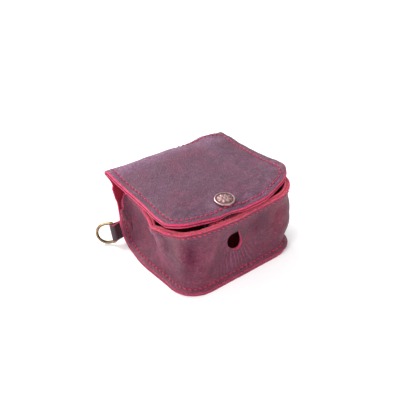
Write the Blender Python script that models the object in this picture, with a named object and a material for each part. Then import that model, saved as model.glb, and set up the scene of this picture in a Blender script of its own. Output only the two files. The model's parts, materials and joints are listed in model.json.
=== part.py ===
"""Small leather accessory case with a snap lid and a D-ring on its side.

Frame: X right along the front, Y to the back, Z up. Origin at the centre of the base's underside.
The front is -Y. Dimensions are in millimetres and are scaled to metres when a mesh is made.
Every sheet of leather, every snap part and every thread is one closed body of its own.
"""
import bpy
import math
from mathutils import Vector

MM = 0.001
GAP = 0.3                  # air left between neighbouring pieces

# Leather
T_OUTER = 1.8              # base, back, walls, lid and tongue
T_INNER = 1.4              # lid lining and rim facing
T_TAB = 1.1

# Base and back: one strip that rolls up behind the case
HALF_W = 41.3              # half width at the front
TAPER = 2.3                # each side draws in by this much towards the back
TAPER_Y = -10.0            # and starts to do so here
FRONT_Y = -36.5
BACK_Y = 33.0              # outer face of the back, below the lean
BASE_R = 14.0              # plan radius of the two front corners
ROLL_R = 12.0              # outer radius of the roll from base to back
LEAN_Z = 24.0              # the back leans outwards above this height
FOLD_Y = 40.2              # outer face of the back at its top edge
BACK_TOP_Z = 44.4

# Wall strip
FLANGE = 5.4               # flange edge to the wall's inner face
BEND_R = 1.6               # middle radius of the flange bend
RIM_Z = 41.0
RIM_SLOPE_Y = 0.0          # the side rims curve down behind this line
END_Z = 25.0               # height of the strip's two ends
END_Y = 27.0
SAG = 1.1                  # the walls are drawn in by this much below the rim
SAG_TOP = 33.0

# Round opening in the front wall
HOLE_X, HOLE_Z = -4.4, 23.7
HOLE_R = 5.8
HOLE_POINT = 7.8           # from the centre to the point of the drop
HOLE_TURN = -13.0          # the point leans to the right, in degrees

# Rim facing
FACING_Z = 33.8

# Lid
LID_HALF_W = 40.5
LID_FRONT_Y = -31.8
LID_R_FRONT = 9.5
LID_R_BACK = 2.0
LID_Z = 44.7               # underside of the outer leather
LINING_Z = 43.0
LINING_BACK_Y = 37.0

# Tongue that carries the stud
SNAP_X, SNAP_Y = -4.4, -21.8
TONGUE_HALF_W = 15.0
TONGUE_Z = 35.8            # underside
TONGUE_DEPTH = 18.5
TONGUE_TOP_Z = 39.6        # top of the leg sewn to the rim

# Snap fastener, line 20: a 12 mm cap
CAP_R = 6.0
POST_R = 1.8
POST_HOLE_R = 2.2
SOCKET_R = 6.1
BULB_R = 3.05
MOUTH_R = 3.3

# Ring and tab
ROLL_ANGLE = 73.0          # where the tab leaves the roll, from straight down
BAR_X = -42.8
BAR_OUT = 1.5 * GAP + T_TAB  # bar's axis, outwards from the back's outer face
WIRE_R = 0.9
RING_HALF = 6.1            # half width of the ring, to the middle of the wire
RING_ARM = 4.5             # straight part of each arm
RING_SWING = 40.0          # the ring lies this far behind the outward direction
TAB_W = 9.8
TAB_ROOT_X = -32.0

THREAD_R = 0.4

LEATHER = (0.262, 0.115, 0.170, 1)

for old in list(bpy.data.objects):
    bpy.data.objects.remove(old, do_unlink=True)


def material(name, colour, metallic, roughness):
    mat = bpy.data.materials.new(name)
    mat.use_nodes = True
    shader = mat.node_tree.nodes["Principled BSDF"]
    shader.inputs["Base Color"].default_value = colour
    shader.inputs["Metallic"].default_value = metallic
    shader.inputs["Roughness"].default_value = roughness
    mat.diffuse_color = colour
    return mat


def signed_volume(verts, faces):
    total = 0.0
    for face in faces:
        a = Vector(verts[face[0]])
        for i in range(1, len(face) - 1):
            total += a.dot(Vector(verts[face[i]]).cross(Vector(verts[face[i + 1]])))
    return total / 6


def add(name, verts, faces, colour, metallic=0.0, roughness=0.6, smooth=False):
    """One named mesh object with its own material and faces outwards; verts are in millimetres."""
    if signed_volume(verts, faces) < 0:
        faces = [tuple(reversed(face)) for face in faces]
    mesh = bpy.data.meshes.new(name)
    mesh.from_pydata([tuple(c * MM for c in v) for v in verts], [], faces)
    mesh.validate()
    mesh.update()
    obj = bpy.data.objects.new(name, mesh)
    bpy.context.scene.collection.objects.link(obj)
    if colour:
        mesh.materials.append(material(name + "_mat", colour, metallic, roughness))
    if smooth:
        mesh.shade_smooth()
    else:
        mesh.shade_flat()
    return obj


def origin_at(obj, point):
    """Puts an object's origin on its joint's axis without moving its shape."""
    shift = Vector(point) * MM
    for vertex in obj.data.vertices:
        vertex.co -= shift
    obj.location = shift


def sheet(rows_a, rows_b):
    """Closed solid between two grids of points of the same size."""
    n, m = len(rows_a), len(rows_a[0])
    verts = [p for row in rows_a for p in row] + [p for row in rows_b for p in row]
    a = lambda i, j: i * m + j
    b = lambda i, j: n * m + i * m + j
    faces = []
    for i in range(n - 1):
        for j in range(m - 1):
            faces.append((a(i, j), a(i, j + 1), a(i + 1, j + 1), a(i + 1, j)))
            faces.append((b(i, j), b(i + 1, j), b(i + 1, j + 1), b(i, j + 1)))
    for i in range(n - 1):
        faces.append((a(i, 0), a(i + 1, 0), b(i + 1, 0), b(i, 0)))
        faces.append((a(i, m - 1), b(i, m - 1), b(i + 1, m - 1), a(i + 1, m - 1)))
    for j in range(m - 1):
        faces.append((a(0, j), b(0, j), b(0, j + 1), a(0, j + 1)))
        faces.append((a(n - 1, j), a(n - 1, j + 1), b(n - 1, j + 1), b(n - 1, j)))
    return verts, faces


def prism(outline, z0, z1):
    """Closed solid of a plan outline, running anticlockwise, between two heights."""
    n = len(outline)
    verts = [(x, y, z0) for x, y in outline] + [(x, y, z1) for x, y in outline]
    faces = [tuple(reversed(range(n))), tuple(range(n, 2 * n))]
    for i in range(n):
        k = (i + 1) % n
        faces.append((i, k, n + k, n + i))
    return verts, faces


def revolve(profile, centre, steps):
    """Closed solid of revolution about Z; a radius of 0 closes the profile on the axis."""
    verts, rings = [], []
    for r, z in profile:
        if r == 0:
            rings.append([len(verts)])
            verts.append((centre[0], centre[1], z))
            continue
        rings.append(list(range(len(verts), len(verts) + steps)))
        for k in range(steps):
            a = 2 * math.pi * k / steps
            verts.append((centre[0] + r * math.cos(a), centre[1] + r * math.sin(a), z))
    faces = []
    pairs = list(zip(rings, rings[1:]))
    if len(rings[0]) > 1:
        pairs.append((rings[-1], rings[0]))
    for low, high in pairs:
        for k in range(steps):
            j = (k + 1) % steps
            if len(low) == 1:
                faces.append((low[0], high[j], high[k]))
            elif len(high) == 1:
                faces.append((low[k], low[j], high[0]))
            else:
                faces.append((low[k], low[j], high[j], high[k]))
    return verts, faces


def tube(path, radius, sides, closed):
    """Round cord along a path of points, capped at its ends unless it is closed."""
    pts = [Vector(p) for p in path]
    n = len(pts)
    tangents = []
    for i in range(n):
        before = pts[(i - 1) % n] if closed or i > 0 else pts[i]
        after = pts[(i + 1) % n] if closed or i < n - 1 else pts[i]
        tangents.append((after - before).normalized())
    side = tangents[0].cross(Vector((0.13, 0.21, 1.0))).normalized()
    frames = []
    for t in tangents:
        side = (side - t * side.dot(t)).normalized()
        frames.append((side.copy(), t.cross(side)))
    verts, faces = [], []
    for p, (u, w) in zip(pts, frames):
        for k in range(sides):
            a = 2 * math.pi * k / sides
            verts.append(tuple(p + u * (radius * math.cos(a)) + w * (radius * math.sin(a))))
    for i in range(n if closed else n - 1):
        j = (i + 1) % n
        for k in range(sides):
            h = (k + 1) % sides
            faces.append((i * sides + k, i * sides + h, j * sides + h, j * sides + k))
    if not closed:
        faces.append(tuple(reversed(range(sides))))
        faces.append(tuple(range((n - 1) * sides, n * sides)))
    return verts, faces


def arc(cx, cy, r, a0, a1, steps):
    return [(cx + r * math.cos(math.radians(a0 + (a1 - a0) * k / steps)),
             cy + r * math.sin(math.radians(a0 + (a1 - a0) * k / steps))) for k in range(steps + 1)]


def rounded(x0, x1, y0, y1, r_front, r_back, steps=6):
    """Anticlockwise rectangle with its own corner radius at the front and at the back."""
    return (arc(x0 + r_front, y0 + r_front, r_front, 180, 270, steps)
            + arc(x1 - r_front, y0 + r_front, r_front, 270, 360, steps)
            + arc(x1 - r_back, y1 - r_back, r_back, 0, 90, steps)
            + arc(x0 + r_back, y1 - r_back, r_back, 90, 180, steps))


def cut(target, verts, faces, name):
    cutter = add(name, verts, faces, None)
    cutter.hide_render = True
    cutter.display_type = "WIRE"
    mod = target.modifiers.new(name, "BOOLEAN")
    mod.operation = "DIFFERENCE"
    mod.solver = "EXACT"
    mod.object = cutter


# The strip of base and back, in side view from the front edge to the fold ------------------------

LEAN = math.atan2(FOLD_Y - BACK_Y, BACK_TOP_Z - LEAN_Z)


def strip_profile(depth):
    """Points (y, z) at a depth inside the strip's outer face."""
    roll_y = BACK_Y - ROLL_R
    corner_end = FRONT_Y + BASE_R
    points = [(FRONT_Y + BASE_R * (1 - math.cos(math.radians(90 * k / 8))), depth) for k in range(9)]
    points += [(corner_end + (roll_y - corner_end) * k / 4, depth) for k in range(1, 4)]
    r = ROLL_R - depth
    for k in range(8):
        a = math.radians(90 * k / 7)
        points.append((roll_y + r * math.sin(a), ROLL_R - r * math.cos(a)))
    bend = 40.0
    bend_z = LEAN_Z - bend * math.tan(LEAN / 2)
    for k in range(5):
        a = LEAN * k / 4
        r = bend + depth
        points.append((BACK_Y + bend - r * math.cos(a), bend_z + r * math.sin(a)))
    y_from, z_from = points[-1]
    y_to = FOLD_Y - depth / math.cos(LEAN)
    for k in range(1, 4):
        points.append((y_from + (y_to - y_from) * k / 3, z_from + (BACK_TOP_Z - z_from) * k / 3))
    return points


def half_width(y):
    t = min(max((y - TAPER_Y) / (BACK_Y - ROLL_R - TAPER_Y), 0.0), 1.0)
    return HALF_W - TAPER * t * t * (3 - 2 * t)


def strip_half_width(y):
    inside = FRONT_Y + BASE_R - y
    if inside <= 0:
        return half_width(y)
    return HALF_W - BASE_R + math.sqrt(max(BASE_R ** 2 - inside ** 2, 0.0))


def strip_rows(depth):
    rows = []
    for y, z in strip_profile(depth):
        w = strip_half_width(y)
        rows.append([(-w + 2 * w * k / 6, y, z) for k in range(7)])
    return rows


verts, faces = sheet(strip_rows(0.0), strip_rows(T_OUTER))
add("base_back_panel", verts, faces, LEATHER)


# The wall strip: stations along the seam, each with a profile from flange edge to rim ------------

SEAT = T_OUTER + GAP       # the flange lies this far inside the strip's outer face
WALL_IN = FLANGE - T_OUTER / 2          # flange edge to the wall's middle plane
WALL_X = HALF_W - WALL_IN
WALL_FRONT = FRONT_Y + FLANGE - T_OUTER / 2
CORNER_R = BASE_R - FLANGE + T_OUTER / 2
ROLL_Y = BACK_Y - ROLL_R
BEND_H = SEAT + T_OUTER / 2


def seam_stations():
    """Stations from the left end round the front to the right end.

    Each is (x, y, z, outward, inward, rim point): the wall's middle line as it meets the strip,
    the unit direction of the flange, the unit direction away from the strip, and the point where
    its line meets the rim.
    """
    side = []
    for k in range(4):
        z = END_Z + (ROLL_R - END_Z) * k / 4
        side.append((BACK_Y, z, (-1.0, 0.0)))
    for k in range(8):
        a = math.radians(90 - 90 * k / 8)
        side.append((ROLL_Y + ROLL_R * math.sin(a), ROLL_R - ROLL_R * math.cos(a),
                     (-math.sin(a), math.cos(a))))
    for k in range(5):
        side.append((ROLL_Y + (RIM_SLOPE_Y - ROLL_Y) * k / 4, 0.0, (0.0, 1.0)))
    front_start = WALL_FRONT + CORNER_R
    for k in range(1, 5):
        side.append((RIM_SLOPE_Y + (front_start - RIM_SLOPE_Y) * k / 5, 0.0, (0.0, 1.0)))
    stations = []
    sloped = 16
    for i, (y, z, inward) in enumerate(side):
        if i < sloped:
            t = 1 - math.cos(math.pi / 2 * i / sloped)
            rise = (1 - (1 - t) ** 3) ** (1 / 3)
            rim = (END_Y + (RIM_SLOPE_Y - END_Y) * t, END_Z + 1.5 + (RIM_Z - END_Z - 1.5) * rise)
        else:
            rim = (y, RIM_Z)
        stations.append(((WALL_IN - half_width(y), y, z), (-1.0, 0.0, 0.0), (0.0, inward[0], inward[1]),
                         (WALL_IN - half_width(rim[0]), rim[0], rim[1])))
    for k in range(9):
        a = math.radians(180 + 90 * k / 8)
        x = -WALL_X + CORNER_R + CORNER_R * math.cos(a)
        y = front_start + CORNER_R * math.sin(a)
        stations.append(((x, y, 0.0), (math.cos(a), math.sin(a), 0.0), (0.0, 0.0, 1.0), (x, y, RIM_Z)))
    half = WALL_X - CORNER_R
    for k in range(1, 6):
        x = -half + half * k / 5
        stations.append(((x, WALL_FRONT, 0.0), (0.0, -1.0, 0.0), (0.0, 0.0, 1.0),
                         (x, WALL_FRONT, RIM_Z)))
    mirrored = []
    for base, outward, inward, rim in reversed(stations[:-1]):
        mirrored.append(((-base[0],) + base[1:], (-outward[0],) + outward[1:], inward,
                         (-rim[0],) + rim[1:]))
    return stations + mirrored


STATIONS = seam_stations()


def sag(z):
    return SAG * math.sin(math.pi * z / SAG_TOP) ** 2 if 0 < z < SAG_TOP else 0.0


def wall_row(station, side):
    """One station's points from the flange edge to the rim; side is +1 outer, -1 inner face."""
    base, outward, inward, rim = (Vector(v) for v in station)
    t = T_OUTER / 2 * side
    row = []
    edge = FLANGE - T_OUTER / 2
    for n in (edge, edge - 1.4):
        row.append(base + outward * n + inward * (BEND_H + t))
    for k in range(4):
        a = math.radians(30 * k)
        r = BEND_R - t
        row.append(base + outward * (BEND_R - r * math.sin(a))
                   + inward * (BEND_H + BEND_R - r * math.cos(a)))
    start = base + inward * (BEND_H + BEND_R)
    steps = 7
    for k in range(1, steps + 1):
        p = start.lerp(rim, k / steps)
        row.append(p + outward * (t - sag(p.z)))
    return [tuple(p) for p in row]


def wall_point(station, n, height_below_rim):
    """A point off the wall's middle plane by n, measured down from the rim."""
    base, outward, inward, rim = (Vector(v) for v in station)
    down = (base + inward * (BEND_H + BEND_R) - rim).normalized()
    p = rim + down * height_below_rim
    return tuple(p + outward * (n - sag(p.z)))


def flange_point(station, from_edge, lift):
    base, outward, inward, _ = (Vector(v) for v in station)
    return tuple(base + outward * (FLANGE - T_OUTER / 2 - from_edge)
                 + inward * (BEND_H + T_OUTER / 2 + lift))


verts, faces = sheet([wall_row(s, 1) for s in STATIONS], [wall_row(s, -1) for s in STATIONS])
wall = add("wall_strip", verts, faces, LEATHER)


def drop_outline():
    """Drop shape: a circle drawn out to a point, turned a little to one side."""
    tangent = math.degrees(math.acos(HOLE_R / HOLE_POINT))
    shape = arc(0, 0, HOLE_R, 90 + tangent, 450 - tangent, 22) + [(0, HOLE_POINT)]
    c, s = math.cos(math.radians(HOLE_TURN)), math.sin(math.radians(HOLE_TURN))
    return [(HOLE_X + x * c - y * s, HOLE_Z + x * s + y * c) for x, y in shape]


hole = drop_outline()
n = len(hole)
hole_verts = [(x, FRONT_Y - 2, z) for x, z in hole] + [(x, FRONT_Y + 12, z) for x, z in hole]
hole_faces = [tuple(range(n)), tuple(reversed(range(n, 2 * n)))]
hole_faces += [(i, n + i, n + (i + 1) % n, (i + 1) % n) for i in range(n)]
cut(wall, hole_verts, hole_faces, "front_hole_cutter")


# Rim facing: a band sewn inside the rim, front and sides ---------------------------------------

def facing_rows(offset):
    rows = []
    first = next(i for i, s in enumerate(STATIONS) if s[3][2] > FACING_Z + 4.0 and s[3][1] < 12.0)
    for base, outward, _, rim in STATIONS[first:len(STATIONS) - first]:
        low = FACING_Z
        rows.append([(rim[0] + outward[0] * offset, rim[1] + outward[1] * offset,
                      low + (rim[2] - low) * k / 2) for k in range(3)])
    return rows


facing_out = -(T_OUTER / 2 + GAP)
verts, faces = sheet(facing_rows(facing_out), facing_rows(facing_out - T_INNER))
add("rim_facing", verts, faces, LEATHER)


# Tongue behind the front rim: a leg sewn to the rim and a shelf that carries the stud ------------

LEG_Y = WALL_FRONT + T_OUTER / 2 + GAP + T_INNER + GAP
SHELF_TOP = TONGUE_Z + T_OUTER


def tongue_profile(depth):
    """Side view (y, z) from the leg's top to the shelf's tip, at a depth inside the lower face."""
    r = 2.4 - depth
    points = [(LEG_Y + depth, TONGUE_TOP_Z), (LEG_Y + depth, TONGUE_Z + 2.4)]
    for k in range(1, 5):
        a = math.radians(90 * k / 4)
        points.append((LEG_Y + 2.4 - r * math.cos(a), TONGUE_Z + 2.4 - r * math.sin(a)))
    corner = 5.0
    for k in range(7):
        a = math.radians(90 * k / 6)
        points.append((LEG_Y + TONGUE_DEPTH - corner + corner * math.sin(a), TONGUE_Z + depth))
    return points


def tongue_rows(depth):
    rows = []
    corner = 5.0
    for y, z in tongue_profile(depth):
        past = y - (LEG_Y + TONGUE_DEPTH - corner)
        w = TONGUE_HALF_W
        if past > 0:
            w = TONGUE_HALF_W - corner + math.sqrt(max(corner ** 2 - past ** 2, 0.0))
        rows.append([(SNAP_X - w + 2 * w * k / 4, y, z) for k in range(5)])
    return rows


verts, faces = sheet(tongue_rows(0.0), tongue_rows(T_OUTER))
tongue = add("stud_flap", verts, faces, LEATHER)


def drill(target, radius, z0, z1, name):
    outline = arc(SNAP_X, SNAP_Y, radius, 0, 360, 24)[:-1]
    v, f = prism(outline, z0, z1)
    cut(target, v, f, name)


drill(tongue, POST_HOLE_R, TONGUE_Z - 2, SHELF_TOP + 2, "tongue_hole_cutter")


# Lid: outer leather and lining, sewn together round their edge -----------------------------------

lid_line = rounded(-LID_HALF_W, LID_HALF_W, LID_FRONT_Y, FOLD_Y, LID_R_FRONT, LID_R_BACK)
verts, faces = prism(lid_line, LID_Z, LID_Z + T_OUTER)
lid = add("lid_outer", verts, faces, LEATHER)
drill(lid, POST_HOLE_R, LID_Z - 1, LID_Z + T_OUTER + 1, "lid_hole_cutter")

lining_line = rounded(-LID_HALF_W, LID_HALF_W, LID_FRONT_Y, LINING_BACK_Y, LID_R_FRONT, LID_R_BACK)
verts, faces = prism(lining_line, LINING_Z, LINING_Z + T_INNER)
lining = add("lid_lining", verts, faces, (0.330, 0.080, 0.110, 1))
drill(lining, POST_HOLE_R, LINING_Z - 1, LINING_Z + T_INNER + 1, "lining_hole_cutter")


# Snap fastener ---------------------------------------------------------------------------------

COPPER = (0.44, 0.30, 0.23, 1)
STEEL = (0.45, 0.36, 0.30, 1)
AXIS = (SNAP_X, SNAP_Y)
cap_z = LID_Z + T_OUTER + GAP
cap_profile = [(0, 41.0), (1.3, 41.0), (POST_R, 41.35), (POST_R, cap_z), (5.5, cap_z),
               (CAP_R, cap_z + 0.35), (CAP_R, cap_z + 0.8), (5.4, cap_z + 1.4), (3.2, cap_z + 1.75),
               (0, cap_z + 1.85)]
cap = add("snap_cap", *revolve(cap_profile, AXIS, 32), COPPER, 0.9, 0.4, True)

socket_top = LINING_Z - GAP
socket_profile = [(2.1, socket_top - 0.5), (2.1, socket_top), (SOCKET_R, socket_top),
                  (SOCKET_R, socket_top - 0.6), (5.0, socket_top - 0.9), (5.0, 39.3), (4.6, 38.95),
                  (MOUTH_R, 38.95), (MOUTH_R, 39.35), (4.35, 39.5), (4.35, 40.6), (3.5, 40.9),
                  (3.5, socket_top - 0.5)]
add("snap_socket", *revolve(socket_profile, AXIS, 32), STEEL, 0.9, 0.42, True)

spring_path = [(SNAP_X + 3.85 * math.cos(math.radians(a)), SNAP_Y + 3.85 * math.sin(math.radians(a)), 40.05)
               for a in range(0, 360, 15)]
add("snap_spring", *tube(spring_path, 0.3, 8, True), (0.5, 0.5, 0.5, 1), 0.9, 0.3, True)

stud_z = SHELF_TOP + GAP
stud_profile = [(2.0, stud_z), (4.9, stud_z), (4.9, stud_z + 0.4), (3.0, stud_z + 0.75),
                (2.6, 38.95), (2.6, 39.4), (BULB_R, 39.9), (BULB_R, 40.3), (2.5, 40.65), (2.0, 40.65)]
add("snap_stud", *revolve(stud_profile, AXIS, 32), STEEL, 0.9, 0.4, True)

post_z = TONGUE_Z - GAP
post_profile = [(0, post_z - 0.7), (4.6, post_z - 0.5), (4.8, post_z - 0.25), (4.8, post_z), (1.6, post_z),
                (1.6, 40.2), (1.2, 40.5), (0, 40.5)]
add("snap_post", *revolve(post_profile, AXIS, 32), STEEL, 0.9, 0.4, True)


# D-ring and its tab ------------------------------------------------------------------------------

phi = math.radians(ROLL_ANGLE)
out_dir = Vector((0, math.sin(phi), -math.cos(phi)))       # away from the back
bar_dir = Vector((0, math.cos(phi), math.sin(phi)))        # up along the seam
on_roll = Vector((0, ROLL_Y + ROLL_R * math.sin(phi), ROLL_R - ROLL_R * math.cos(phi)))
bar = on_roll + out_dir * BAR_OUT + Vector((BAR_X, 0, 0))

swing = math.radians(RING_SWING)
away = Vector((-math.cos(swing), 0, 0)) + out_dir * math.sin(swing)
ring_2d = [(-RING_HALF + 1.2, 0.0)] + [(-RING_HALF + 2 * RING_HALF * k / 6, 0.0) for k in range(1, 6)]
ring_2d += [(RING_HALF - 1.2, 0.0), (RING_HALF - 0.35, 0.35), (RING_HALF, 1.2), (RING_HALF, RING_ARM)]
ring_2d += [(x, RING_ARM + y) for x, y in arc(0, 0, RING_HALF, 0, 180, 14)[1:]]
ring_2d += [(-RING_HALF, 1.2), (-RING_HALF + 0.35, 0.35)]
ring_path = [bar + bar_dir * a + away * b for a, b in ring_2d]
ring = add("d_ring", *tube(ring_path, WIRE_R, 10, True), (0.36, 0.26, 0.16, 1), 0.9, 0.35, True)
origin_at(ring, bar)


def tab_line(side):
    """The folded tab in end view: up one leg, round the bar and back; side is +1 outer, -1 inner."""
    r = WIRE_R + GAP + T_TAB / 2 + side * T_TAB / 2
    legs = GAP / 2 + T_TAB / 2 + side * T_TAB / 2
    points = []
    pinch = WIRE_R + GAP + T_TAB + 1.0
    for k in range(3):
        points.append((TAB_ROOT_X + (BAR_X + pinch - TAB_ROOT_X) * k / 2, legs))
    start = 55
    for k in range(13):
        a = math.radians(start + (360 - 2 * start) * k / 12)
        points.append((BAR_X + r * math.cos(a), r * math.sin(a)))
    for k in range(3):
        points.append((BAR_X + pinch + (TAB_ROOT_X - BAR_X - pinch) * k / 2, -legs))
    return points


def tab_rows(side):
    rows = []
    for x, out in tab_line(side):
        rows.append([tuple(Vector((x, 0, 0)) + on_roll + out_dir * (BAR_OUT + out) + bar_dir * TAB_W * h)
                     for h in (-0.5, 0.5)])
    return rows


verts, faces = sheet(tab_rows(1), tab_rows(-1))
add("ring_tab", verts, faces, LEATHER)


# Threads: one continuous line for each seam --------------------------------------------------------

THREAD = (0.56, 0.045, 0.13, 1)


def loop_at(outline, z):
    return [(x, y, z) for x, y in outline]


def stitched(name, path, closed=False):
    return add(name, *tube(path, THREAD_R, 6, closed), THREAD, 0.0, 0.7, True)


inset = 3.2
lid_seam = rounded(-LID_HALF_W + inset, LID_HALF_W - inset, LID_FRONT_Y + inset, LINING_BACK_Y - 1.6,
                   LID_R_FRONT - inset, 4.0)
lid_thread = stitched("lid_thread", loop_at(lid_seam, LID_Z + T_OUTER + GAP + THREAD_R), True)
off = GAP + THREAD_R
stitched("seam_thread", [flange_point(s, 2.3, off) for s in STATIONS])
stitched("rim_thread", [wall_point(s, T_OUTER / 2 + off, 2.6) for s in STATIONS[2:-2]])
# The tongue's seam is open at the front, where the rim's stitches hold the leg
left, right = SNAP_X - TONGUE_HALF_W + 2.4, SNAP_X + TONGUE_HALF_W - 2.4
tip_y, turn = LEG_Y + TONGUE_DEPTH - 2.2, 3.6
flap_line = [(left, LEG_Y + 3.1)] + arc(left + turn, tip_y - turn, turn, 180, 90, 6)
flap_line += arc(right - turn, tip_y - turn, turn, 90, 0, 6) + [(right, LEG_Y + 3.1)]
stitched("flap_thread", loop_at(flap_line, SHELF_TOP + off))

# Moving pieces turn about the top edge of the fold
for piece in ("lid_outer", "lid_lining", "lid_thread", "snap_cap", "snap_socket", "snap_spring"):
    origin_at(bpy.data.objects[piece], (0, FOLD_Y + 0.2, LID_Z - 0.15))
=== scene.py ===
"""Looks for a small hand-sewn leather case: soft waxed leather, raw dyed edges, saddle stitching, aged metal.

All shaping is done in millimetres in the CAD frame (X right, Y back, Z up) and scaled to metres at the end.
"""
import json
import math

import bpy
import numpy as np
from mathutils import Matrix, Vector, noise


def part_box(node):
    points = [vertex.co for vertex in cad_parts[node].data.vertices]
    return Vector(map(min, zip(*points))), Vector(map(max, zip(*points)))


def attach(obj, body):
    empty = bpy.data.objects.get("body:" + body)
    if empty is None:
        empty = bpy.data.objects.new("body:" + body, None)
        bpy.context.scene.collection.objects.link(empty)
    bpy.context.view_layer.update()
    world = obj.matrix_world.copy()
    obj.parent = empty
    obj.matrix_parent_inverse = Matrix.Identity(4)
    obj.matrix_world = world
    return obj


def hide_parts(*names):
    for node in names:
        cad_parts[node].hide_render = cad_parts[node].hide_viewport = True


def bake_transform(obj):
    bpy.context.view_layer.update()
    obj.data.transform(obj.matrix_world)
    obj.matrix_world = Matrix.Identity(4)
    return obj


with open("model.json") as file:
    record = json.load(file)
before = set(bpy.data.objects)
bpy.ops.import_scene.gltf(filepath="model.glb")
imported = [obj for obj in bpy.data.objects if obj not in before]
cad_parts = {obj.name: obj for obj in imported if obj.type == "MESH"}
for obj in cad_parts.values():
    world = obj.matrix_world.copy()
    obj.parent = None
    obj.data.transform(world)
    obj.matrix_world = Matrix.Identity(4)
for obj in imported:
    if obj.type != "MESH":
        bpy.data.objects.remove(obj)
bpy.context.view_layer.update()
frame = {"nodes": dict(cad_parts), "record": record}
MM = 0.001


def box_mm(node):
    low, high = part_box(node)
    return np.array(low) / MM, np.array(high) / MM


# Sizes that come from the frame
BASE_LO, BASE_HI = box_mm("base_back_panel")
LID_LO, LID_HI = box_mm("lid_outer")
CAP_LO, CAP_HI = box_mm("snap_cap")
FLAP_LO, FLAP_HI = box_mm("stud_flap")
STUD_LO = box_mm("snap_stud")[0]
TAB_HI = box_mm("ring_tab")[1]
RIM = box_mm("wall_strip")[1][2]
SNAP = ((CAP_LO + CAP_HI) / 2)[:2]
JOINTS = {j["name"]: j for j in frame["record"]["behaviour"]["joints"]}
BAR = np.array(JOINTS["ring_swing"]["pos_m"]) / MM
BAR_DIR = np.array(JOINTS["ring_swing"]["axis"])

T_OUT, T_LIN = 1.8, 1.4  # thickness of the outer leather and of the lining
HALF_W = BASE_HI[0] - 0.5  # the sewn edge is pared and rubbed down a little
FRONT = BASE_LO[1] + 0.5
TAPER, TAPER_Y = 2.3, -10.0  # the strip narrows by this on each side, from here back
BACK, ROLL_R, LEAN_Z = 33.0, 12.0, 24.0  # back plane, roll radius, where the back starts to lean
FOLD_Y, BACK_TOP = BASE_HI[1], BASE_HI[2]
LEAN = math.atan2(FOLD_Y - BACK, BACK_TOP - LEAN_Z)
ROLL_Y = BACK - ROLL_R


def smooth(a, b, x):
    t = np.clip((np.asarray(x, float) - a) / (b - a), 0, 1)
    return t * t * (3 - 2 * t)


def gauss(x, width):
    return np.exp(-(np.asarray(x, float) / width) ** 2)


def fbm(grid, scale, seed):
    """Smooth noise, -1..1, over a grid in mm; scale is the size of its largest features."""
    at = grid.reshape(-1, 3) / scale + np.array([seed, -seed, 2 * seed])
    return np.array([noise.fractal(Vector(q), 0.8, 2.0, 3) for q in at]).reshape(grid.shape[:2])


# Materials

def linear(rgb):
    """Display colour, 0 to 255, as linear RGBA."""
    return tuple((c / 255 / 12.92) if c <= 10 else ((c / 255 + 0.055) / 1.055) ** 2.4 for c in rgb) + (1.0,)


class Nodes:
    """Small helper round one material's node tree."""

    def __init__(self, name):
        self.mat = bpy.data.materials.new(name)
        self.mat.use_nodes = True
        self.tree = self.mat.node_tree
        self.shader = self.tree.nodes["Principled BSDF"]
        rest = self.new("Attribute")
        rest.attribute_name = "rest"
        self.rest = rest.outputs["Vector"]

    def put(self, value, socket):
        if isinstance(value, bpy.types.NodeSocket):
            self.tree.links.new(value, socket)
        else:
            socket.default_value = value

    def new(self, kind, **inputs):
        node = self.tree.nodes.new("ShaderNode" + kind)
        for key, value in inputs.items():
            self.put(value, node.inputs[key.replace("_", " ")])
        return node

    def attribute(self, name):
        node = self.new("Attribute")
        node.attribute_name = name
        return node.outputs["Fac"]

    def scaled(self, sx, sy, sz):
        return self.new("Mapping", Scale=(sx, sy, sz), Vector=self.rest).outputs["Vector"]

    def noise(self, scale, detail=3.0, rough=0.55, vector=None, distortion=0.0):
        return self.new("TexNoise", Scale=scale, Detail=detail, Roughness=rough, Distortion=distortion,
                        Vector=vector or self.rest).outputs["Fac"]

    def ramp(self, value, stops):
        """Colour ramp with three stops."""
        node = self.new("ValToRGB", Fac=value)
        node.color_ramp.elements.new(0.5)
        for element, (place, colour) in zip(node.color_ramp.elements, stops):
            element.position = place
            element.color = linear(colour)
        return node.outputs["Color"]

    def grey(self, value, lo, hi, out_lo, out_hi):
        """Maps lo..hi to out_lo..out_hi and clamps."""
        return self.new("MapRange", Value=value, From_Min=lo, From_Max=hi, To_Min=out_lo,
                        To_Max=out_hi).outputs["Result"]

    def mix(self, factor, a, b):
        node = self.new("Mix")
        node.data_type = "RGBA"
        for place, value in ((0, factor), (6, a), (7, b)):
            self.put(value, node.inputs[place])
        return node.outputs[2]

    def tint(self, base, value, lo, hi, share, colour):
        """Mixes a colour into base: none of it where value is lo, the full share of it at hi."""
        return self.mix(self.grey(value, lo, hi, 0.0, share), base, linear(colour))

    def math(self, kind, a, b):
        node = self.new("Math")
        node.operation = kind
        self.put(a, node.inputs[0])
        self.put(b, node.inputs[1])
        return node.outputs[0]

    def bump(self, height, distance, strength, under=None):
        node = self.new("Bump", Strength=strength, Distance=distance * MM, Height=height)
        if under:
            self.put(under, node.inputs["Normal"])
        return node.outputs["Normal"]

    def finish(self, normal=None, **values):
        for key, value in values.items():
            self.put(value, self.shader.inputs[key.replace("_", " ")])
        if normal:
            self.put(normal, self.shader.inputs["Normal"])
        return self.mat


SHADOW = (48, 9, 26)  # painted shade, laid into creases, dents and hollows


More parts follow.
